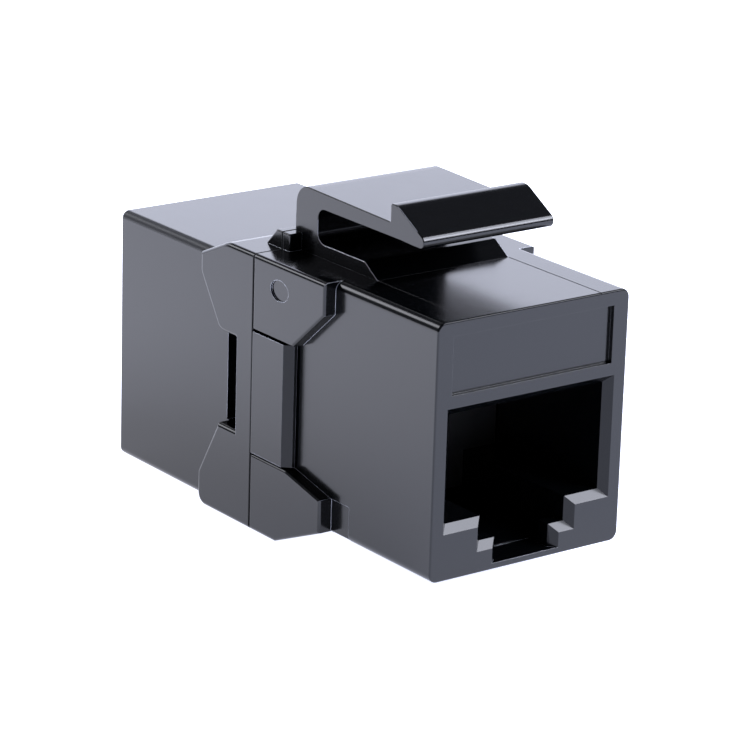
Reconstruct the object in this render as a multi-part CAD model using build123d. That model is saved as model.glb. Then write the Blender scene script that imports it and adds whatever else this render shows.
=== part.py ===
from build123d import *
import os

# Keystone coupler: joins two eight-contact cable plugs in line through a wall plate.
# Each piece is drawn from the module's front face, then moved to its place over the middle of its base:
# x across the front, y from the front face to the rear face, z up, in millimetres.

# Overall sizes
module_length = 34.5
seam_setback = 0.6
side_wall = 1.42
front_height = 16.4
front_corner_radius = 0.6
rear_inset = 0.1
rear_step = 1.3
rear_drop = 1.9
rear_corner_radius = 0.5
edge_break = 0.12

# Port: a stepped opening for the plug, with its spring tab downwards
port_width = 11.9
port_top = 10.45
port_ledge = 3.5
shoulder_width = 6.6
shoulder_floor = 1.9
tab_width = 4.2
tab_floor = 0.42
tab_well_length = 5.6
pad_width = 2.66
pad_top = 0.9
lead_in = 0.5
lip_thickness = 1.4
plug_depth = 10.6

# Label recess between the port and the top of the front face
label_side = 1.19
label_rim = 0.8
label_margin = 0.95
label_depth = 0.3

# Pocket inside the shells for the contact carriers and the board
pocket_floor = 1.0
fit_clearance = 0.1
tray_headroom = 0.5
tray_front_room = 0.75

# Contact carriers
tray_rise = 0.2
tray_thickness = 1.6
tray_nose = 3.75
comb_drop = 3.0
comb_depth = 2.3
rib_length = 0.8
rib_width = 0.8
peg_radius = 0.6
peg_height = 3.2
front_peg_spacing = 8.8
rear_peg_spacing = 5.2

# Circuit board
board_thickness = 1.6
contact_hole_radius = 0.36

# Spring contacts
contact_count = 8
contact_pitch = 1.02
contact_width = 0.46
contact_thickness = 0.3
contact_gap = 0.08
contact_bend = 0.45
nose_span = 1.6
nose_bend = 0.78
nose_reach = 0.17
high_row_inset = 0.15
row_spacing = 2.54
jog_inset = 1.0
tail_proud = 0.5
free_end_depth = 1.8
free_end_rise = 0.65

# Lugs at the back of the front shell, which stop against the back of the wall plate
lug_overhang = 0.85
lug_front = 10.25
lug_edge = 0.18
lug_round = 0.3
upper_lug_face = 2.1
upper_lug_slope = 3.25
upper_lug_height = 4.93
lower_lug_slope = 3.75
lower_lug_top = 3.2
lower_lug_nose = 2.37
lower_lug_chin = 0.18
lower_lug_sole = 4.95
lower_lug_round = 1.2
mark_length = 1.9
mark_height = 1.36
mark_depth = 0.12
mark_setback = 4.75
mark_drop = 1.7

# Groove under the front shell for the lower edge of the wall plate
plate_groove_length = 1.95
plate_groove_depth = 0.2
plate_groove_side = 0.1

# Latch on top of the front shell; the wall plate sits between its catch and the lugs
plate_room = 2.3
latch_width = 10.2
latch_setback = 0.1
latch_corner = 1.2
column_length = 2.34
foot_reach = 1.15
foot_ramp = 1.35
foot_height = 0.88
slot_height = 2.22
slot_radius = 0.7
arm_rear_thickness = 1.1
arm_front_thickness = 0.9
catch_height = 1.16
catch_flat = 0.65
catch_length = 3.33
catch_ramp_drop = 1.36
tip_drop = 0.05
tip_length = 1.08
tip_lower_radius = 0.42
tip_upper_radius = 0.5
ramp_radius = 1.2
knuckle_gap = 0.05
knuckle_seat = 0.65

# Shoulders beside the latch root, carried on across the seam by the rear shell
shoulder_side = 1.32
shoulder_length = 0.8
shoulder_height = 1.12
ridge_flat = 0.65
ridge_length = 1.75
crest_edge = 0.1

# Collar at the front of the rear shell
collar_length = 5.95
collar_flat = 3.05
collar_cheek = 1.3
collar_lower_corner = 0.35
collar_round = 0.8
collar_edge = 0.3
collar_crest_round = 1.5
spine_length = 1.65
notch_length = 2.1
notch_upper_inset = 0.9
notch_lower_inset = 0.88
window_reach = 0.25

# Snap tongues of the rear shell, one on each side between the lugs
tongue_setback = 3.7
tongue_gap = 0.12
tongue_chamfer = 0.5
hook_height = 5.2
hook_length = 0.8
hook_depth = 0.4
hook_setback = 0.35

# Fine creases beside the flat in front of the latch, and at the root of each tongue
crease_width = 0.08
crease_depth = 0.06

# Places that follow from the sizes
middle_y = module_length / 2
front_length = middle_y + seam_setback
rear_length = module_length - front_length
front_width = port_width + 2 * side_wall
rear_width = front_width - 2 * rear_inset
rear_top = front_height - rear_step
lug_width = front_width + 2 * lug_overhang
label_width = front_width - 2 * label_side
label_bottom = port_top + lead_in + label_rim
label_top = front_height - label_margin

tray_bottom = port_top + tray_rise
tray_top = tray_bottom + tray_thickness
pocket_width = port_width
pocket_top = tray_top + tray_headroom
board_front = middle_y - board_thickness / 2
carrier_width = pocket_width - 2 * fit_clearance
carrier_back = board_front - rib_length
carrier_bottom = pocket_floor + fit_clearance
carrier_top = pocket_top - fit_clearance
comb_bottom = tray_bottom - comb_drop
high_row = tray_top - high_row_inset
low_row = high_row - row_spacing

upper_lug_bottom = front_height - upper_lug_height
tongue_front = lug_front + tongue_setback
tongue_bottom = lower_lug_top + tongue_gap
tongue_top = upper_lug_bottom - tongue_gap

latch_rear = front_length - latch_setback
foot_front = lug_front - foot_reach
foot_top = front_height + foot_height
arm_underside = foot_top + slot_height
arm_top_rear = arm_underside + arm_rear_thickness
arm_top_front = arm_underside + arm_front_thickness
catch_back = lug_front - plate_room
knuckle_y = latch_rear - latch_corner
knuckle_z = arm_top_rear - latch_corner

block_width = front_width - 2 * shoulder_side
collar_rear = front_length + collar_length
notch_front = front_length + spine_length
notch_rear = notch_front + notch_length
notch_top = tongue_top - notch_upper_inset
notch_bottom = tongue_bottom + notch_lower_inset
middle_plane = Plane(origin=(0, middle_y, 0), z_dir=(0, 1, 0))
side_plane = Plane.YZ


def block(x_range, y_range, z_range):
    """A box given by its limits on each axis."""
    limits = (x_range, y_range, z_range)
    sizes = [high - low for low, high in limits]
    centre = [(high + low) / 2 for low, high in limits]
    return Pos(*centre) * Box(*sizes)


def wide_block(width, y_range, z_range):
    """A box centred on the middle of the module's width."""
    return block((-width / 2, width / 2), y_range, z_range)


def both_sides(piece):
    """A piece and its mirror image on the other side of the module."""
    return piece + mirror(piece, about=Plane.YZ)


def across(outline, width):
    """A side outline of y and z points, spread evenly to the given width."""
    return extrude(side_plane * outline, amount=width / 2, both=True)


def section_along(section, start, end):
    """A section of x and z points, run from one y to another."""
    return extrude(Plane.XZ.offset(-start) * section, amount=end - start, dir=(0, 1, 0))


def edges_above(solid, level):
    return [edge for edge in solid.edges() if edge.center().Z > level]


def rounded_body(width, bottom, top, start, end, radius):
    """A shell's outer block, with rounded long edges."""
    section = Pos(0, (bottom + top) / 2) * RectangleRounded(width, top - bottom, radius)
    return section_along(section, start, end)


def port_outline(grow):
    """The stepped opening, seen from the front; it can grow at every edge but the slot's floor."""
    right = [
        (port_width / 2 + grow, port_top + grow),
        (port_width / 2 + grow, port_ledge - grow),
        (shoulder_width / 2 + grow, port_ledge - grow),
        (shoulder_width / 2 + grow, shoulder_floor - grow),
        (tab_width / 2 + grow, shoulder_floor - grow),
        (tab_width / 2 + grow, tab_floor),
    ]
    left = [(-x, z) for x, z in reversed(right)]
    return make_face(Polyline(*right, *left, close=True))


def port_cutter():
    """The space that a plug takes, from the front face to the stop."""
    mouth = loft(
        [Plane.XZ * port_outline(lead_in), Plane.XZ.offset(-lead_in) * port_outline(0)], ruled=True
    )
    throat = section_along(port_outline(0), lead_in, plug_depth)
    tab_room = wide_block(shoulder_width, (lip_thickness, plug_depth), (tab_floor, port_ledge))
    pad = wide_block(pad_width, (lip_thickness, plug_depth), (tab_floor, pad_top))
    well_end = lip_thickness + tab_well_length
    inner_floor = wide_block(shoulder_width, (well_end, plug_depth), (tab_floor, pad_top))
    return mouth + throat + tab_room - pad - inner_floor


def carrier_cutter(shell_length):
    """The pocket for a contact carrier and the board, open at the seam end of a shell."""
    pocket = wide_block(pocket_width, (plug_depth, shell_length), (pocket_floor, pocket_top))
    slot_start = tray_nose - tray_front_room
    tray_slot = wide_block(pocket_width, (slot_start, plug_depth), (port_ledge, pocket_top))
    return pocket + tray_slot


def latch_outline():
    """Side outline of the whole latch: foot, root, arm and catch."""
    root_floor = front_height - edge_break
    slot_rear = latch_rear - column_length
    catch_top = arm_top_front + catch_height
    catch_tip = catch_back - catch_length
    tip_bottom = arm_underside - tip_drop
    corners = [
        ((foot_front, front_height), 0),
        ((foot_front + foot_ramp, foot_top), edge_break),
        ((slot_rear, foot_top), slot_radius),
        ((slot_rear, arm_underside), slot_radius),
        ((catch_back - 1, arm_underside), 0),
        ((catch_tip + tip_length, tip_bottom), tip_lower_radius),
        ((catch_tip, tip_bottom), tip_lower_radius),
        ((catch_tip, catch_top - catch_ramp_drop), tip_upper_radius),
        ((catch_back - catch_flat, catch_top), ramp_radius),
        ((catch_back, catch_top), edge_break),
        ((catch_back, arm_top_front), edge_break),
        ((latch_rear, arm_top_rear), latch_corner),
        ((latch_rear, root_floor), 0),
        ((foot_front, root_floor), 0),
    ]
    points = [point for point, radius in corners]
    radii = [radius for point, radius in corners]
    return make_face(FilletPolyline(*points, radius=radii, close=True))


def above_knuckle():
    """Region over the knuckle's axis, larger than the latch."""
    return Pos(latch_rear - module_length / 2, knuckle_z) * Rectangle(
        module_length, module_length, align=(Align.CENTER, Align.MIN)
    )


def knuckle(radius):
    return Pos(knuckle_y, knuckle_z) * Circle(radius)


def make_latch_arm():
    """The part of the latch that bends down: arm, catch and knuckle."""
    moving = above_knuckle() + knuckle(latch_corner)
    return across(latch_outline() & moving, latch_width)


def latch_root():
    """The fixed part of the latch: foot, column and the knuckle's seat."""
    seat_level = knuckle_z - knuckle_seat
    open_top = Pos(0, seat_level - knuckle_z) * above_knuckle()
    fixed = latch_outline() - open_top - knuckle(latch_corner + knuckle_gap)
    return across(fixed, latch_width)


def lug(outline):
    """One pair of lugs, from a side outline that runs right across the shell."""
    solid = across(outline, lug_width)
    edges = [
        edge
        for edge in solid.faces().filter_by(Axis.X).edges()
        if abs(edge.center().Z - front_height) > edge_break
    ]
    rounded = rounded_body(
        lug_width, -rear_drop, front_height, lug_front, front_length, lug_round
    )
    return fillet(edges, lug_edge) & rounded


def upper_lug_outline():
    return make_face(
        Polyline(
            (front_length, front_height),
            (lug_front, front_height),
            (lug_front, front_height - upper_lug_face),
            (lug_front + upper_lug_slope, upper_lug_bottom),
            (front_length, upper_lug_bottom),
            close=True,
        )
    )


def lower_lug_outline():
    corners = [
        ((front_length, lower_lug_top), 0),
        ((lug_front + lower_lug_slope, lower_lug_top), 0),
        ((lug_front, lower_lug_nose), 0),
        ((lug_front, lower_lug_chin), 0),
        ((lug_front + lower_lug_sole, -rear_drop), lower_lug_round),
        ((front_length, -rear_drop), 0),
    ]
    points = [point for point, radius in corners]
    radii = [radius for point, radius in corners]
    return make_face(FilletPolyline(*points, radius=radii, close=True))


def make_front_shell():
    body = rounded_body(front_width, 0, front_height, 0, front_length, front_corner_radius)
    body = fillet(body.faces().sort_by(Axis.Y)[0].edges(), edge_break)
    lugs = lug(upper_lug_outline()) + lug(lower_lug_outline())
    shoulders = wide_block(
        block_width,
        (front_length - shoulder_length, front_length),
        (pocket_top, front_height + shoulder_height),
    )
    shoulders = fillet(edges_above(shoulders, pocket_top), crest_edge)
    shell = body + lugs + shoulders + latch_root()

    label = wide_block(label_width, (0, label_depth), (label_bottom, label_top))
    groove_span = (lug_front - plate_groove_length, lug_front)
    groove_under = wide_block(lug_width, groove_span, (0, plate_groove_depth))
    groove_side = block(
        (front_width / 2 - plate_groove_side, lug_width / 2), groove_span, (0, lower_lug_nose)
    )
    hook_front = tongue_front + hook_setback - tongue_gap
    hook_middle = (tongue_bottom + tongue_top) / 2
    hook_half = hook_height / 2 + tongue_gap
    catch_pocket = block(
        (front_width / 2 - hook_depth, front_width / 2),
        (hook_front, hook_front + hook_length + 2 * tongue_gap),
        (hook_middle - hook_half, hook_middle + hook_half),
    )
    mark_outline = Pos(lug_front + mark_setback, front_height - mark_drop) * Ellipse(
        mark_length / 2, mark_height / 2
    )
    mark = extrude(side_plane.offset(-lug_width / 2) * mark_outline, amount=mark_depth)
    crease = block(
        ((latch_width - crease_width) / 2, (latch_width + crease_width) / 2),
        (0, foot_front),
        (front_height - crease_depth, front_height),
    )
    shell -= port_cutter() + carrier_cutter(front_length) + label + groove_under + mark
    shell -= both_sides(groove_side) + both_sides(catch_pocket) + both_sides(crease)
    return shell


def collar_outline():
    """Side outline of the collar, with the bite behind each snap tongue."""
    corners = [
        ((front_length, -rear_drop), 0),
        ((front_length, front_height), 0),
        ((front_length + collar_flat, front_height), collar_crest_round),
        ((collar_rear, rear_top), 0),
        ((collar_rear, rear_top - collar_cheek), collar_round),
        ((notch_rear, notch_top), collar_round),
        ((notch_front, notch_top), collar_round / 2),
        ((notch_front, notch_bottom), 0),
        ((notch_rear, notch_bottom), 0),
        ((collar_rear, collar_lower_corner), collar_round),
        ((collar_rear, -rear_drop), collar_round),
    ]
    points = [point for point, radius in corners]
    radii = [radius for point, radius in corners]
    return make_face(FilletPolyline(*points, radius=radii, close=True))


def snap_tongue():
    """The tongue on the right side, with its hook towards the front shell."""
    inner = front_width / 2 + tongue_gap
    outer = lug_width / 2
    tongue = block((inner, outer), (tongue_front, notch_front), (tongue_bottom, tongue_top))
    nose = tongue.edges().filter_by(Axis.Z).sort_by(lambda edge: edge.center().Y - edge.center().X)[0]
    tongue = chamfer(nose, tongue_chamfer) - block(
        (outer - crease_depth, outer),
        (front_length - crease_width / 2, front_length + crease_width / 2),
        (tongue_bottom, tongue_top),
    )
    hook_middle = (tongue_bottom + tongue_top) / 2
    hook_front = tongue_front + hook_setback
    hook = block(
        (front_width / 2 - hook_depth + tongue_gap, inner),
        (hook_front, hook_front + hook_length),
        (hook_middle - hook_height / 2, hook_middle + hook_height / 2),
    )
    return tongue + hook


def make_rear_shell():
    body = rounded_body(
        rear_width, -rear_drop, rear_top, front_length, module_length, rear_corner_radius
    )
    body = fillet(body.faces().sort_by(Axis.Y)[-1].edges(), edge_break)
    collar = across(collar_outline(), lug_width)
    outline_edges = collar.faces().filter_by(Axis.X).edges().sort_by(Axis.Y)
    seam_edges = outline_edges.group_by(Axis.Y)[0]
    collar = fillet([edge for edge in outline_edges if edge not in seam_edges], collar_edge)
    ridge_end = front_length + ridge_length
    ridge_top = front_height + shoulder_height
    ridge = across(
        make_face(
            Polyline(
                (front_length, pocket_top),
                (front_length, ridge_top),
                (front_length + ridge_flat, ridge_top),
                (ridge_end, front_height),
                (ridge_end, pocket_top),
                close=True,
            )
        ),
        block_width,
    )
    ridge = fillet(edges_above(ridge, front_height), crest_edge)
    window = block(
        (pocket_width / 2, front_width / 2 + tongue_gap),
        (front_length, notch_rear + window_reach),
        (notch_bottom, notch_top),
    )
    shell = body + collar + ridge
    shell -= mirror(port_cutter() + carrier_cutter(rear_length), about=middle_plane)
    shell -= both_sides(window)
    return shell + both_sides(snap_tongue())


def contact_path(row):
    """Centre line of one contact, from its tail in the board to its free end in the comb."""
    nose = tray_nose - nose_reach
    under = high_row - nose_span
    tail_end = middle_y + board_thickness / 2 + tail_proud
    if row == high_row:
        tail = [(tail_end, high_row)]
        bends = []
    else:
        jog = carrier_back - jog_inset
        tail = [(tail_end, row), (jog, row), (jog, high_row)]
        bends = [contact_bend, contact_bend]
    free_end = (plug_depth + free_end_depth, comb_bottom + free_end_rise)
    points = tail + [(nose, high_row), (nose, under), free_end]
    return FilletPolyline(*points, radius=bends + [nose_bend, nose_bend])


def contact_strip(row, thickness, width):
    """A strip that follows a contact's centre line."""
    return extrude(side_plane * trace(contact_path(row), thickness), amount=width / 2, both=True)


def contact_x(number):
    return (number - (contact_count - 1) / 2) * contact_pitch


def front_row(number):
    return high_row if number % 2 == 0 else low_row


def rear_row(number):
    return low_row if number % 2 == 0 else high_row


def make_carrier(row_of, peg_spacing):
    """A contact carrier: a block behind the plug, a tray over it and a comb for the free ends."""
    heel = wide_block(carrier_width, (plug_depth, carrier_back), (carrier_bottom, carrier_top))
    tray = wide_block(carrier_width, (tray_nose, plug_depth), (tray_bottom, tray_top))
    nose_edges = tray.edges().filter_by(Axis.X).group_by(Axis.Y)[0]
    tray = fillet(nose_edges, (tray_top - tray_bottom) * 0.45)
    rib = block(
        (carrier_width / 2 - rib_width, carrier_width / 2),
        (carrier_back, board_front),
        (carrier_bottom, carrier_top),
    )
    peg_length = board_front + board_thickness - carrier_back
    peg = Pos(peg_spacing / 2, carrier_back, peg_height) * Rot(-90, 0, 0) * Cylinder(
        peg_radius, peg_length, align=(Align.CENTER, Align.CENTER, Align.MIN)
    )
    carrier = heel + tray + both_sides(rib) + both_sides(peg)
    comb_slot = wide_block(
        contact_width + 2 * contact_gap, (plug_depth, plug_depth + comb_depth), (comb_bottom, tray_bottom)
    )
    for number in range(contact_count):
        channel = contact_strip(
            row_of(number), contact_thickness + 2 * contact_gap, contact_width + 2 * contact_gap
        )
        carrier -= Pos(contact_x(number), 0, 0) * (comb_slot + channel)
    return carrier


def make_contact(number, row):
    return Pos(contact_x(number), 0, 0) * contact_strip(row, contact_thickness, contact_width)


def make_circuit_board():
    board_back = board_front + board_thickness
    board = wide_block(carrier_width, (board_front, board_back), (carrier_bottom, carrier_top))
    drill = Rot(90, 0, 0)
    for number in range(contact_count):
        for row in (low_row, high_row):
            hole = drill * Cylinder(contact_hole_radius, 2 * board_thickness)
            board -= Pos(contact_x(number), middle_y, row) * hole
    for spacing in (front_peg_spacing, rear_peg_spacing):
        for side in (-1, 1):
            hole = drill * Cylinder(peg_radius + fit_clearance / 2, 2 * board_thickness)
            board -= Pos(side * spacing / 2, middle_y, peg_height) * hole
    return board


def make_parts():
    parts = {
        "front_shell": make_front_shell(),
        "rear_shell": make_rear_shell(),
        "latch_arm": make_latch_arm(),
        "front_contact_carrier": make_carrier(front_row, front_peg_spacing),
        "rear_contact_carrier": mirror(make_carrier(rear_row, rear_peg_spacing), about=middle_plane),
        "circuit_board": make_circuit_board(),
    }
    for number in range(contact_count):
        parts[f"front_contact_{number + 1}"] = make_contact(number, front_row(number))
        rear_contact = make_contact(number, rear_row(number))
        parts[f"rear_contact_{number + 1}"] = mirror(rear_contact, about=middle_plane)
    return parts


os.makedirs("parts", exist_ok=True)
base_centre = Pos(0, -middle_y, rear_drop)
for name, part in make_parts().items():
    export_step(base_centre * part, f"parts/{name}.step")
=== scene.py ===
import math

import bmesh
import bpy
from mathutils import Matrix, Vector


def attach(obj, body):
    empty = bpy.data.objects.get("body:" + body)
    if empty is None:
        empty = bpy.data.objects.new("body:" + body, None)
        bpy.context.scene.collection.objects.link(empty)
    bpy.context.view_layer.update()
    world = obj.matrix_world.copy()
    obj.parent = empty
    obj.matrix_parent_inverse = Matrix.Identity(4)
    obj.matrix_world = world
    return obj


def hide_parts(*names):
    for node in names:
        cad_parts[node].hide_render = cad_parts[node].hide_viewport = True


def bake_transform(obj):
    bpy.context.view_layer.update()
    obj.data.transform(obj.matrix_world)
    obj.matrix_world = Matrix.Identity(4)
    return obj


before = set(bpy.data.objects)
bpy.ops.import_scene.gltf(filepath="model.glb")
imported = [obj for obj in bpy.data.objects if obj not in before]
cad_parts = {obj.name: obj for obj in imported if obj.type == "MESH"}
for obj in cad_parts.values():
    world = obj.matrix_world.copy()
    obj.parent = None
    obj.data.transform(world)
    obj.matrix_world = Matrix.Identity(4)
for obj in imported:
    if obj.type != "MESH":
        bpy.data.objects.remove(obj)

# Lengths are in millimetres unless a comment says otherwise, and MM turns them into Blender's metres.
MM = 0.001
MIDDLE_Y = 17.25
BASE_Z = 1.9
LENGTH = 34.5
SEAM = 17.85


def write_size():
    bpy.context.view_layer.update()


write_size()


def place(x, y, z):
    """A point of the frame, from its place on the module.

    x is counted from the middle to the right, y from the front face to the rear, and z from the bottom of
    the front face.
    """
    return Vector((x, y - MIDDLE_Y, z + BASE_Z)) * MM


def given(point):
    """The reverse of place: where a point of the frame lies on the module."""
    return (point - place(0, 0, 0)) / MM


def add_object(name, data):
    obj = bpy.data.objects.new(name, data)
    bpy.context.scene.collection.objects.link(obj)
    return obj


# Shader nodes

def new_material(name):
    material = bpy.data.materials.new(name)
    material.use_nodes = True
    tree = material.node_tree
    tree.nodes.clear()
    output = tree.nodes.new("ShaderNodeOutputMaterial")
    shader = tree.nodes.new("ShaderNodeBsdfPrincipled")
    tree.links.new(shader.outputs[0], output.inputs["Surface"])
    return material, tree, shader


def feed(tree, socket, value):
    """Links a socket to an output, or sets it to a plain value."""
    if isinstance(value, bpy.types.NodeSocket):
        tree.links.new(value, socket)
    else:
        socket.default_value = value


def maths(tree, operation, *values):
    node = tree.nodes.new("ShaderNodeMath")
    node.operation = operation
    for socket, value in zip(node.inputs, values):
        feed(tree, socket, value)
    return node.outputs[0]


def dot_product(tree, first, second):
    node = tree.nodes.new("ShaderNodeVectorMath")
    node.operation = "DOT_PRODUCT"
    feed(tree, node.inputs[0], first)
    feed(tree, node.inputs[1], second)
    return node.outputs["Value"]


def remap(tree, value, low, high, start=0.3, end=0.7, kind="LINEAR"):
    """Goes from low to high while the value goes from start to end."""
    node = tree.nodes.new("ShaderNodeMapRange")
    node.interpolation_type = kind
    node.inputs["From Min"].default_value = start
    node.inputs["From Max"].default_value = end
    node.inputs["To Min"].default_value = low
    node.inputs["To Max"].default_value = high
    feed(tree, node.inputs["Value"], value)
    return node.outputs[0]


def noise(tree, coords, scale, detail):
    node = tree.nodes.new("ShaderNodeTexNoise")
    node.inputs["Scale"].default_value = scale
    node.inputs["Detail"].default_value = detail
    feed(tree, node.inputs["Vector"], coords)
    return node.outputs["Fac"]


def mix_colours(tree, factor, first, second):
    node = tree.nodes.new("ShaderNodeMix")
    node.data_type = "RGBA"
    factor_socket, first_socket, second_socket = (node.inputs[i] for i in (0, 6, 7))
    feed(tree, factor_socket, factor)
    first_socket.default_value = (*first, 1)
    second_socket.default_value = (*second, 1)
    return node.outputs[2]


def rounded_normal(tree, radius, samples):
    """The surface's normal with its edges rounded, and the node that makes it."""
    node = tree.nodes.new("ShaderNodeBevel")
    node.samples = samples
    node.inputs["Radius"].default_value = radius * MM
    return node.outputs[0], node


# Materials

GLOSS_NOISE = 900
GRAIN_NOISE = 1600
GRAIN_DEPTH = 0.01
EDGE_SAMPLES = 6
GLINT_SAMPLES = 8
GLINT_WIDTH = 0.05
GLINT_METAL = 0.5
# How far the rounded normal agrees with the flat one where the painted edge highlight is full, and where
# there is none
GLINT_AGREEMENT = (0.80, 0.97)
# From how far to how far from the seam each of these changes
GLINT_BAND = (0.08, 0.16)
ROUGH_BAND = (0.05, 0.11)
EDGE_BAND = (0.12, 0.20)
SEAM_ROUGHNESS = 0.8


def seam_distance(tree, coords):
    """How far a point lies from the seam between the two shells, in metres."""
    split = tree.nodes.new("ShaderNodeSeparateXYZ")
    tree.links.new(coords, split.inputs[0])
    return maths(tree, "ABSOLUTE", maths(tree, "SUBTRACT", split.outputs["Y"], place(0, SEAM, 0).y))


def by_seam(tree, coords, at_seam, beyond, band):
    """One value at the seam and another beyond it, with the change inside a band."""
    start, end = band
    return remap(tree, seam_distance(tree, coords), at_seam, beyond, start * MM, end * MM)


def painted_edge_glint(tree, coords):
    """The mask of the painted edge highlight: 1 on an edge and 0 away from it, with none in the seam."""
    rounded, _ = rounded_normal(tree, GLINT_WIDTH, GLINT_SAMPLES)
    surface = tree.nodes.new("ShaderNodeNewGeometry")
    agreement = dot_product(tree, rounded, surface.outputs["Normal"])
    on_edge = remap(tree, agreement, 1.0, 0.0, *GLINT_AGREEMENT)
    return maths(tree, "MULTIPLY", on_edge, by_seam(tree, coords, 0.0, 1.0, GLINT_BAND))


def moulded(name, colour, roughness, edge, grain=0.03, ior=1.5, metallic=0.0, edge_glint=None, seam_edge=None):
    """A moulded or stamped surface: soft edges and a little unevenness in the gloss.

    roughness is a range and edge the radius of the edges. edge_glint is the colour of a painted highlight on
    the edges, which also makes them partly metallic, and seam_edge the radius of the edges that meet in the
    seam.
    """
    material, tree, shader = new_material(name)
    coords = tree.nodes.new("ShaderNodeTexCoord").outputs["Object"]
    shader.inputs["Base Color"].default_value = (*colour, 1)
    shader.inputs["Metallic"].default_value = metallic
    shader.inputs["IOR"].default_value = ior
    # Painted highlight: the edges are lightened and turned partly metallic, as a glint.
    if edge_glint:
        glint_mask = painted_edge_glint(tree, coords)
        tree.links.new(mix_colours(tree, glint_mask, colour, edge_glint), shader.inputs["Base Color"])
        tree.links.new(remap(tree, glint_mask, 0.0, GLINT_METAL, 0.0, 1.0), shader.inputs["Metallic"])
    gloss = remap(tree, noise(tree, coords, GLOSS_NOISE, 4), *roughness)
    rounded, bevel = rounded_normal(tree, edge, EDGE_SAMPLES)
    if seam_edge:
        gloss = maths(tree, "MAXIMUM", gloss, by_seam(tree, coords, SEAM_ROUGHNESS, 0.0, ROUGH_BAND))
        radius = by_seam(tree, coords, seam_edge * MM, edge * MM, EDGE_BAND)
        tree.links.new(radius, bevel.inputs["Radius"])
    tree.links.new(gloss, shader.inputs["Roughness"])
    bump = tree.nodes.new("ShaderNodeBump")
    bump.inputs["Strength"].default_value = grain
    bump.inputs["Distance"].default_value = GRAIN_DEPTH * MM
    tree.links.new(noise(tree, coords, GRAIN_NOISE, 3), bump.inputs["Height"])
    tree.links.new(rounded, bump.inputs["Normal"])
    tree.links.new(bump.outputs[0], shader.inputs["Normal"])
    return material


BLACK = (0.0008, 0.0011, 0.0015)
# The colour of the painted edge highlight.
GLINT_COLOUR = (0.72, 0.75, 0.84)
GLOSSY = (0.165, 0.185)
# gloss_black carries the painted edge highlight, and plain_black is the same gloss without it.
gloss_black = moulded("gloss_black", BLACK, GLOSSY, 0.04, edge_glint=GLINT_COLOUR, seam_edge=0.12)
plain_black = moulded("plain_black", BLACK, GLOSSY, 0.04)
# A darker copy of the gloss with less reflection: painted shade on the port's and tongue's chamfers.
chamfer_shade_black = moulded("chamfer_shade_black", BLACK, GLOSSY, 0.03, ior=1.36)
satin_black = moulded("satin_black", BLACK, (0.40, 0.44), 0.03)
shade_black = moulded("shade_black", BLACK, (0.18, 0.20), 0.03, ior=1.25)
# A near-white metallic black: a painted glint for the rims of the latch's foot and catch.
glint_painted_black = moulded("glint_painted_black", (0.93, 0.95, 1.0), (0.24, 0.28), 0.03, metallic=0.9)
carrier_black = moulded("carrier_black", (0.0012, 0.0012, 0.0014), (0.45, 0.55), 0.05, grain=0.1)
board_green = moulded("board_green", (0.012, 0.09, 0.035), (0.25, 0.35), 0.04, grain=0.1)
contact_gold = moulded("contact_gold", (0.83, 0.60, 0.27), (0.18, 0.28), 0.03, grain=0.05, metallic=1.0)

# The shells and the latch carry all the blacks, and a face picks one of them by its number.
BLACKS = (gloss_black, shade_black, glint_painted_black, plain_black, chamfer_shade_black, satin_black)
GLOSS, SHADE, GLINT, PLAIN, CHAMFER_SHADE, SATIN = range(len(BLACKS))


def dress(mesh, *materials):
    mesh.materials.clear()
    for material in materials:
        mesh.materials.append(material)


for name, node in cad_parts.items():
    if name.endswith("shell") or name == "latch_arm":
        dress(node.data, gloss_black)
    elif name.endswith("carrier"):
        dress(node.data, carrier_black)
    elif name == "circuit_board":
        dress(node.data, board_green)
    else:
        dress(node.data, contact_gold)


# The latch in one piece: foot, column, arm and catch. It lies a hair outside the solids, so that the foot and
# column of the front shell don't show through it.

SKIN = 0.01
# The radius of the rims at its two sides, in steps of these angles, and a narrow flat band beside each rim
RIM = 0.06
RIM_TURNS = (0, 22.5, 45, 67.5, 90)
RIM_END = RIM * 1.5
LATCH_COLUMNS = 8
RUN_STEP = 0.48
ARC_STEP = math.radians(7.5)
SMOOTH_BELOW = math.radians(34)
SIDE_FACE = 0.99

FRONT_TOP = 16.4
LATCH_REAR = 17.75
LATCH_HALF = 5.1
FOOT_FRONT = 9.1
FOOT_RAMP = 1.35
FOOT_TOP = FRONT_TOP + 0.88
FOOT_BOTTOM = FRONT_TOP - 0.12
SLOT_REAR = LATCH_REAR - 2.34
SLOT_ROUND = 0.7
ARM_UNDER = FOOT_TOP + 2.22
ARM_TOP_REAR = ARM_UNDER + 1.1
ARM_TOP_FRONT = ARM_UNDER + 0.9
ARM_ROUND = 1.2
CATCH_BACK = 7.95
CATCH_TIP = CATCH_BACK - 3.33
CATCH_TOP = ARM_TOP_FRONT + 1.16
CATCH_FROM = CATCH_BACK - 1
CREST = CATCH_BACK - 0.65
CREST_ROUND = 1.2
NOSE_TOP = CATCH_TOP - 1.47
NOSE_TOP_ROUND = 0.42
NOSE_UNDER = ARM_UNDER - 0.05
NOSE_UNDER_ROUND = 0.37
NOSE_FLAT = 1.08
SMALL_ROUND = 0.12
CATCH_NARROWER = 0.18

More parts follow.
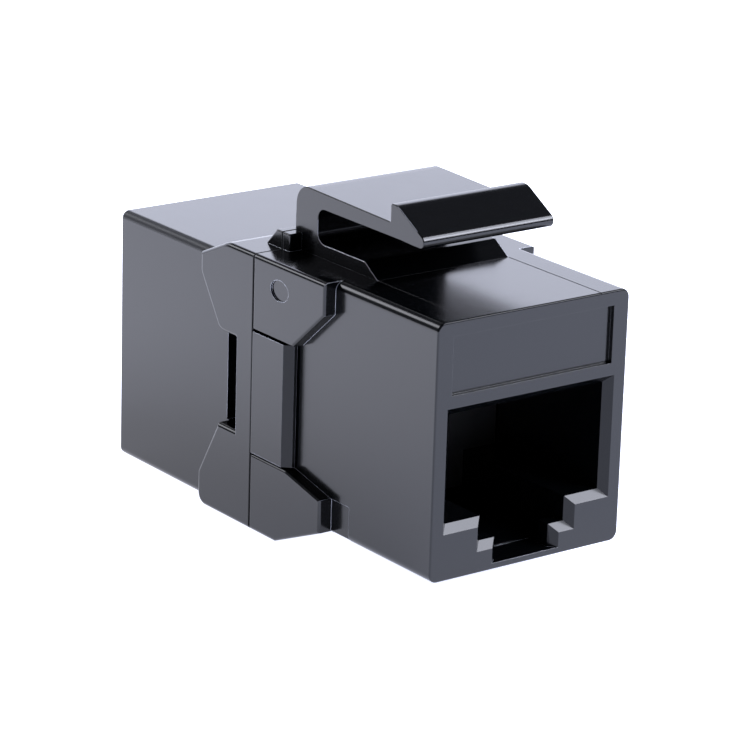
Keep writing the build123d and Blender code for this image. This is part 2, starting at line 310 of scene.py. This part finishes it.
# Each corner's place along the module and height, and the radius it is rounded by.
LATCH_CORNERS = [
    ((FOOT_FRONT, FRONT_TOP), 0),
    ((FOOT_FRONT + FOOT_RAMP, FOOT_TOP), SMALL_ROUND),
    ((SLOT_REAR, FOOT_TOP), SLOT_ROUND),
    ((SLOT_REAR, ARM_UNDER), SLOT_ROUND),
    ((CATCH_FROM, ARM_UNDER), 0),
    ((CATCH_TIP + NOSE_FLAT, NOSE_UNDER), NOSE_UNDER_ROUND),
    ((CATCH_TIP, NOSE_UNDER), NOSE_UNDER_ROUND),
    ((CATCH_TIP, NOSE_TOP), NOSE_TOP_ROUND),
    ((CREST, CATCH_TOP), CREST_ROUND),
    ((CATCH_BACK, CATCH_TOP), SMALL_ROUND),
    ((CATCH_BACK, ARM_TOP_FRONT), SMALL_ROUND),
    ((LATCH_REAR, ARM_TOP_REAR), ARM_ROUND),
    ((LATCH_REAR, FOOT_BOTTOM), 0),
    ((FOOT_FRONT, FOOT_BOTTOM), 0),
]


def rounded_corner(here, last, after, radius):
    """The points of a corner that is rounded by a radius."""
    if radius <= 0:
        return [here]
    to_last = (last - here).normalized()
    to_next = (after - here).normalized()
    half = to_last.angle(to_next) / 2
    reach = radius / math.tan(half)
    centre = here + (to_last + to_next).normalized() * (radius / math.sin(half))
    spoke = here + to_last * reach - centre
    turn = spoke.angle_signed(here + to_next * reach - centre)
    pieces = max(3, round(abs(turn) / ARC_STEP))
    return [centre + Matrix.Rotation(-turn * k / pieces, 2) @ spoke for k in range(pieces + 1)]


def rounded_outline(corners):
    """A closed outline with each corner rounded, and points along its straight runs."""
    turns = []
    for i, (corner, radius) in enumerate(corners):
        last, _ = corners[i - 1]
        after, _ = corners[(i + 1) % len(corners)]
        turns += rounded_corner(Vector(corner), Vector(last), Vector(after), radius)
    outline = []
    for i, point in enumerate(turns):
        after = turns[(i + 1) % len(turns)]
        pieces = max(1, int((after - point).length / RUN_STEP))
        outline += [point.lerp(after, k / pieces) for k in range(pieces)]
    return outline


def grown(outline, amount):
    """The outline moved outwards by a small amount."""
    moved = []
    for i, point in enumerate(outline):
        along = (outline[(i + 1) % len(outline)] - outline[i - 1]).normalized()
        moved.append(point + Vector((-along.y, along.x)) * amount)
    return moved


def latch_point(x, y, z):
    """A point of the latch. As in the photo, the catch's right end is a little short."""
    if x > 0 and z > NOSE_UNDER - 0.1 and y < SLOT_REAR:
        x *= 1 - CATCH_NARROWER / LATCH_HALF * (SLOT_REAR - y) / (SLOT_REAR - CATCH_TIP)
    return place(x, y, z)


def latch_columns():
    """Where the latch's rings lie across it, and by how much each ring's outline grows."""
    half = LATCH_HALF + SKIN
    inner = half - RIM_END
    turns = [math.radians(turn) for turn in RIM_TURNS]
    rim = [(RIM * (1 - math.cos(a)), SKIN - RIM * (1 - math.sin(a))) for a in turns]
    rim.append((RIM_END, SKIN))
    left = [(inset - half, growth) for inset, growth in rim]
    between = [(-inner + 2 * inner * k / LATCH_COLUMNS, SKIN) for k in range(1, LATCH_COLUMNS)]
    right = [(half - inset, growth) for inset, growth in reversed(rim)]
    return left + between + right


def latch_finish(face):
    """Painted glints on the rims of foot and catch, and painted shade on the foot and in the slot."""
    _, y, z = given(face.calc_center_median())
    sideways = abs(face.normal.x)
    on_foot = z < FOOT_TOP + 0.3 and y < SLOT_REAR
    on_catch = z > ARM_TOP_FRONT and y < CREST
    under_arm = y < SLOT_REAR + 0.1 and z < ARM_UNDER + 0.1
    if 0.4 < sideways < 0.9:
        # Painted glint on the rims of foot and catch.
        return GLINT if on_foot or on_catch else GLOSS
    return SHADE if sideways < 0.1 and under_arm else GLOSS


def make_latch():
    outline = rounded_outline(LATCH_CORNERS)
    count = len(outline)
    shape = bmesh.new()
    rings = []
    for x, growth in latch_columns():
        rings.append([shape.verts.new(latch_point(x, *point)) for point in grown(outline, growth)])
    for near, far in zip(rings, rings[1:]):
        for i in range(count):
            j = (i + 1) % count
            shape.faces.new((near[i], near[j], far[j], far[i])).smooth = True
    shape.faces.new(rings[0][::-1])
    shape.faces.new(rings[-1])
    shape.normal_update()
    for face in shape.faces:
        face.material_index = latch_finish(face)
    mesh = bpy.data.meshes.new("latch_skin")
    dress(mesh, *BLACKS)
    shape.to_mesh(mesh)
    shape.free()
    mesh.validate()
    mesh.set_sharp_from_angle(angle=SMOOTH_BELOW)
    for face in mesh.polygons:
        face.use_smooth = abs(face.normal.x) < SIDE_FACE
    return add_object("latch_skin", mesh)


latch = make_latch()
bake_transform(latch)
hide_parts("latch_arm")


# Both shells with the floor that the photo shows in their tab slots: the solids have a taller pad there. The
# two ports are alike, so depth is counted from a port's own face.

PORT_HALF = 5.95
PORT_TOP = 10.45
FACE_DEPTH = 0.45
CHAMFER_DEPTH = 0.5
SHOULDER_HALF = 3.3
TAB_FLOOR = 0.42
TAB_HALF = 2.1
PAD_HALF = 1.33
PAD_FRONT = 1.4
PAD_TOP = 0.9
POCKET_FRONT = 10.6
STEP_FRONT = 2.27
STEP_TOP = 0.5
FRONT_EDGE = 0.13
TONGUE_CHAMFER = (13.9, 14.5)
COLLAR_REAR = 23.9
REAR_EDGE = 6.8
REAR_TOP = 15.1
TURNED = 0.6
NEAR = 0.02


def flat_floor(x, depth, z):
    """Where a point of the pad goes when the slot's floor has only a low step."""
    in_slot = PAD_FRONT - NEAR < depth < POCKET_FRONT + NEAR and abs(x) < SHOULDER_HALF + NEAR
    if in_slot and z < PAD_TOP + NEAR:
        if abs(z - PAD_TOP) < NEAR:
            z = STEP_TOP
        if abs(abs(x) - PAD_HALF) < NEAR:
            x = math.copysign(TAB_HALF, x)
            depth = max(depth, STEP_FRONT)
    return x, depth, z


def shell_finish(face, is_front):
    """Which of the blacks a face of a shell gets, by its place on the module."""
    x, y, z = given(face.center)
    depth = y if is_front else LENGTH - y
    beside = abs(x)
    turned = min(abs(face.normal.x), abs(face.normal.y)) > TURNED
    within_port = beside < PORT_HALF + NEAR and TAB_FLOOR - NEAR < z < PORT_TOP + NEAR
    in_port = within_port and depth > FACE_DEPTH
    on_slot_floor = abs(z - TAB_FLOOR) < NEAR and depth < STEP_FRONT
    on_front_edge = depth < FRONT_EDGE and z > FRONT_TOP - FRONT_EDGE
    on_port_chamfer = turned and depth < CHAMFER_DEPTH and z < PORT_TOP + CHAMFER_DEPTH
    on_tongue_chamfer = turned and TONGUE_CHAMFER[0] < y < TONGUE_CHAMFER[1]
    on_rear_edge = y > COLLAR_REAR and beside > REAR_EDGE and REAR_TOP - 0.5 < z < REAR_TOP - 0.01
    on_front_roof = z > FRONT_TOP - 0.1 and y < FOOT_FRONT
    # The slot's floor keeps the painted edge highlight along its front edge.
    if on_slot_floor:
        return GLOSS
    if in_port or on_front_edge:
        return SHADE
    # Painted shade: the chamfers get the darker copy of the gloss.
    if on_port_chamfer or on_tongue_chamfer:
        return CHAMFER_SHADE
    if on_rear_edge:
        return SATIN
    # Elsewhere the gloss with its painted edge highlight, save on the front roof and face.
    return PLAIN if on_front_roof or depth < FACE_DEPTH else GLOSS


def make_shell(name):
    is_front = name == "front_shell"
    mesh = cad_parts[name].data.copy()
    for vertex in mesh.vertices:
        x, y, z = given(vertex.co)
        x, depth, z = flat_floor(x, y if is_front else LENGTH - y, z)
        vertex.co = place(x, depth if is_front else LENGTH - depth, z)
    dress(mesh, *BLACKS)
    for face in mesh.polygons:
        face.material_index = shell_finish(face, is_front)
    return add_object(name + "_skin", mesh)


for name in ("front_shell", "rear_shell"):
    shell = make_shell(name)
    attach(shell, "housing")
    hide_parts(name)


# The floor. It glows more strongly towards the back and is bluer towards the front. Its lengths and those of
# the lights are in metres.

FLOOR_SIZE = 6.0
FLOOR_WAY = (-0.3, 0.95, 0)
GLOW = (0.86, 1.40)
GLOW_BAND = (-0.03, 0.045)
FRONT_TINT = (0.93, 0.98, 1.22)
BACK_TINT = (1.0, 1.01, 1.13)
TINT_BAND = (-0.03, 0.02)


def make_floor():
    half = FLOOR_SIZE / 2
    corners = [(-half, -half, 0), (half, -half, 0), (half, half, 0), (-half, half, 0)]
    mesh = bpy.data.meshes.new("floor")
    mesh.from_pydata(corners, [], [(0, 1, 2, 3)])
    material, tree, shader = new_material("white_floor")
    shader.inputs["Base Color"].default_value = (0.82, 0.85, 0.93, 1)
    shader.inputs["Roughness"].default_value = 0.9
    coords = tree.nodes.new("ShaderNodeTexCoord").outputs["Object"]
    along = dot_product(tree, coords, FLOOR_WAY)
    glow = remap(tree, along, *GLOW, *GLOW_BAND)
    tint = mix_colours(tree, remap(tree, along, 0.0, 1.0, *TINT_BAND), FRONT_TINT, BACK_TINT)
    tree.links.new(glow, shader.inputs["Emission Strength"])
    tree.links.new(tint, shader.inputs["Emission Color"])
    mesh.materials.append(material)
    return add_object("floor", mesh)


make_floor()


# A dim studio with one large bright screen, low and to one side

SCREEN_WAY = (0.64, 0.77, 0)
SIDE_BAND = (0.20, 0.70)
HEIGHT_BAND = (0.40, 0.56)
SCREEN_GLOW = 2.03
STUDIO_GLOW = 0.10
STUDIO_COLOUR = (0.96, 1.0, 1.19, 1)

world = bpy.data.worlds.new("studio")
bpy.context.scene.world = world
world.use_nodes = True
sky = world.node_tree
sky.nodes.clear()
sky_out = sky.nodes.new("ShaderNodeOutputWorld")
background = sky.nodes.new("ShaderNodeBackground")
sky.links.new(background.outputs[0], sky_out.inputs["Surface"])
way = sky.nodes.new("ShaderNodeTexCoord").outputs["Generated"]
way_split = sky.nodes.new("ShaderNodeSeparateXYZ")
sky.links.new(way, way_split.inputs[0])
to_side = remap(sky, dot_product(sky, way, SCREEN_WAY), 0.0, 1.0, *SIDE_BAND, "SMOOTHSTEP")
low_down = remap(sky, way_split.outputs["Z"], 1.0, 0.0, *HEIGHT_BAND, "SMOOTHSTEP")
screen = maths(sky, "MULTIPLY", maths(sky, "MULTIPLY", to_side, low_down), SCREEN_GLOW)
background.inputs["Color"].default_value = STUDIO_COLOUR
sky.links.new(maths(sky, "ADD", screen, STUDIO_GLOW), background.inputs["Strength"])


# Softboxes

LIGHT_DISTANCE = 0.7
LIGHT_AIM = Vector((0, 0, 0.010))
COOL = (0.95, 0.98, 1.12)
PALE = (0.97, 0.99, 1.06)


def softbox(name, direction, width, height, radiance, colour):
    """An area light that shines from a direction towards the object."""
    light = bpy.data.lights.new(name, "AREA")
    light.shape = "RECTANGLE"
    light.size = width
    light.size_y = height
    light.energy = radiance * math.pi * width * height
    light.color = colour
    obj = add_object(name, light)
    towards = Vector(direction).normalized()
    obj.location = LIGHT_AIM + towards * LIGHT_DISTANCE
    obj.rotation_mode = "QUATERNION"
    obj.rotation_quaternion = towards.to_track_quat("Z", "Y")


softbox("key_softbox", (0.50, -0.48, 0.72), 0.46, 0.36, 8.0, COOL)
softbox("low_softbox", (0.573, -0.68, 0.46), 0.46, 0.20, 12.0, COOL)
softbox("back_strip", (-0.38, 0.76, 0.53), 0.26, 0.17, 4.2, PALE)


# The camera, as solved from the photo: a target point, the pixel it falls on, and three angles

PHOTO_PX = 750
FOCAL_PX = 3579.9
SENSOR = 36
TARGET = place(0, 15, 8.2)
TARGET_PX = (382.8, 369.837)
TARGET_DISTANCE = 228.213 * MM
AZIMUTH = math.radians(-37.035)
ELEVATION = math.radians(17.99)
ROLL = math.radians(1.76)


def camera_axes():
    """The camera's right, up and forward directions."""
    level = Vector((math.cos(AZIMUTH), math.sin(AZIMUTH), 0))
    heading = Vector((-math.sin(AZIMUTH), math.cos(AZIMUTH), 0))
    forward = heading * math.cos(ELEVATION) - Vector((0, 0, math.sin(ELEVATION)))
    upward = level.cross(forward)
    right = level * math.cos(ROLL) + upward * math.sin(ROLL)
    up = upward * math.cos(ROLL) - level * math.sin(ROLL)
    return right, up, forward


def make_camera():
    data = bpy.data.cameras.new("camera")
    data.sensor_width = SENSOR
    data.lens = FOCAL_PX / PHOTO_PX * SENSOR
    data.clip_start = 0.01
    data.clip_end = 20
    right, up, forward = camera_axes()
    aside, above = ((px - PHOTO_PX / 2) / FOCAL_PX * TARGET_DISTANCE for px in TARGET_PX)
    spot = TARGET - forward * TARGET_DISTANCE - right * aside + up * above
    turned = Matrix((right, up, -forward)).transposed().to_4x4()
    camera = add_object("camera", data)
    camera.matrix_world = Matrix.Translation(spot) @ turned
    return camera


bpy.context.scene.camera = make_camera()
bpy.context.scene.view_settings.view_transform = "Standard"

write_size()
